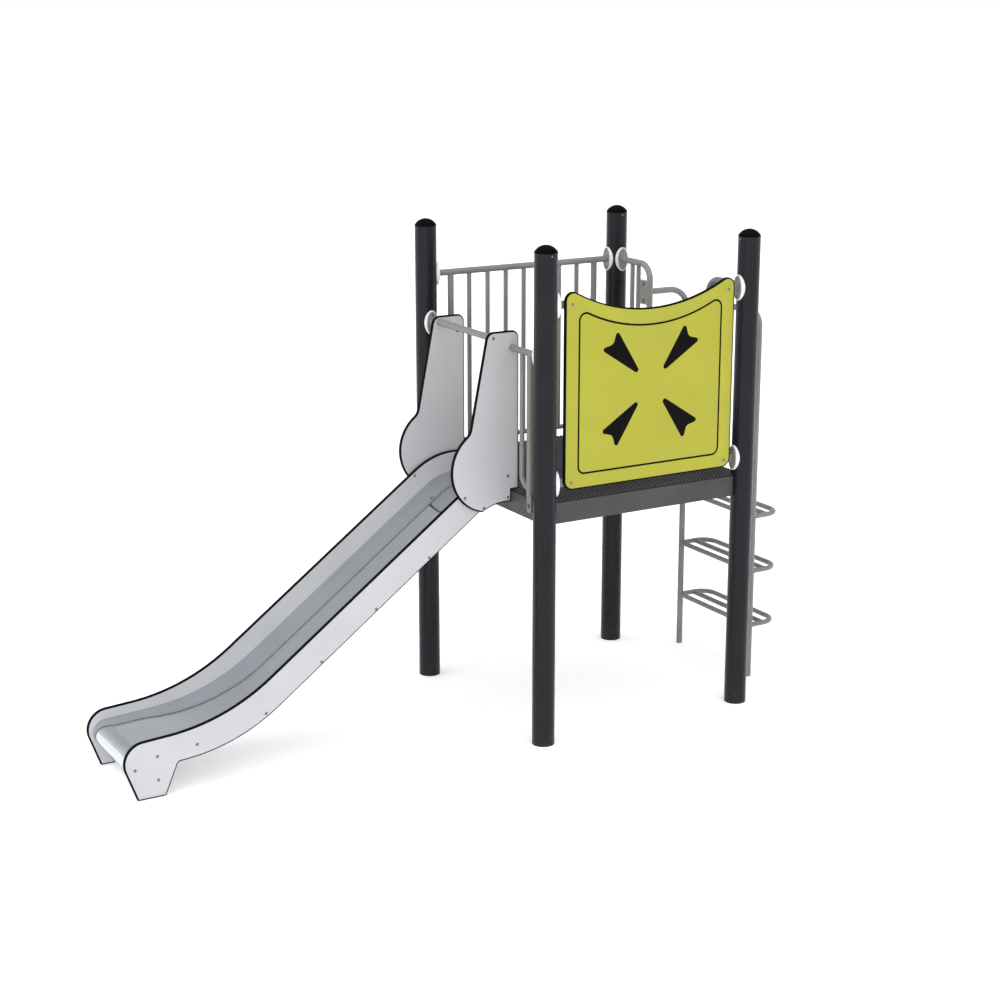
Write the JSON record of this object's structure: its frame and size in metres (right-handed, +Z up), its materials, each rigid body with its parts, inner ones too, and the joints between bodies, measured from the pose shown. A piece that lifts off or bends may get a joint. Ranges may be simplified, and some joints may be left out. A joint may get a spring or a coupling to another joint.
{
  "type": "play tower with straight slide",
  "caption": "Round-post play tower with a straight steel chute between board sides, a deck with a barred guard and a solid panel, and a tube-rung ladder.",
  "frame": {"origin": "centre of the footprint's bounding box, at ground level", "axes": "+Z up; -X the way the slide runs out, +X the ladder side; -Y the solid panel, +Y the barred guard"},
  "size_m": [3.7757, 1.3188, 2.516],
  "materials": {
    "post_paint": "anthracite powder coat, fine texture",
    "cap_plastic": "black moulded, gloss",
    "collar_plastic": "light grey moulded",
    "screw_steel": "stainless",
    "frame_paint": "dark grey powder coat",
    "bearer_steel": "dark grey powder coat",
    "deck_plate": "black, ribbed against slipping",
    "panel_board": "lime surface over black core, fine texture",
    "chute_steel": "stainless, satin",
    "slide_board": "light grey surface over black core, fine texture",
    "wing_board": "light grey surface over black core, fine texture",
    "tube_paint": "warm grey powder coat"
  },
  "bodies": {
    "root": {"cap_ladder_guard": "cap_plastic", "cap_ladder_panel": "cap_plastic", "cap_screws": "screw_steel", "cap_slide_guard": "cap_plastic", "cap_slide_panel": "cap_plastic", "coloured_panel": "panel_board", "deck_bearers": "bearer_steel", "deck_board": "deck_plate", "deck_bolts": "screw_steel", "deck_channel_guard": "frame_paint", "deck_channel_ladder": "frame_paint", "deck_channel_panel": "frame_paint", "deck_channel_slide": "frame_paint", "deck_screws": "screw_steel", "entry_bolts": "screw_steel", "flange_screws": "screw_steel", "guard_bars": "tube_paint", "guard_bottom_rail": "tube_paint", "guard_collars": "collar_plastic", "guard_end_tube_ladder": "tube_paint", "guard_end_tube_slide": "tube_paint", "guard_top_rail": "tube_paint", "half_guard_balusters": "tube_paint", "half_guard_guard": "tube_paint", "half_guard_low_bars": "tube_paint", "half_guard_panel": "tube_paint", "hoop_collars": "collar_plastic", "hoop_inner_bars": "tube_paint", "hoop_rail_guard": "tube_paint", "hoop_rail_panel": "tube_paint", "hoop_upright_guard": "tube_paint", "hoop_upright_panel": "tube_paint", "ladder_collars": "collar_plastic", "ladder_rail_guard": "tube_paint", "ladder_rail_panel": "tube_paint", "panel_brackets": "tube_paint", "panel_collars": "collar_plastic", "panel_screws": "screw_steel", "plate_bolts": "screw_steel", "post_ladder_guard": "post_paint", "post_ladder_panel": "post_paint", "post_slide_guard": "post_paint", "post_slide_panel": "post_paint", "side_screws": "screw_steel", "slide_bed": "chute_steel", "slide_foot_tie": "tube_paint", "slide_side_guard": "slide_board", "slide_side_panel": "slide_board", "tab_bolts": "screw_steel", "tread_back_bars": "tube_paint", "tread_loop_1": "tube_paint", "tread_loop_2": "tube_paint", "tread_loop_3": "tube_paint", "tread_middle_bars": "tube_paint", "wing_bolts": "screw_steel", "wing_crossbar": "tube_paint", "wing_guard": "wing_board", "wing_panel": "wing_board", "wing_screws": "screw_steel"}
  },
  "joints": []
}
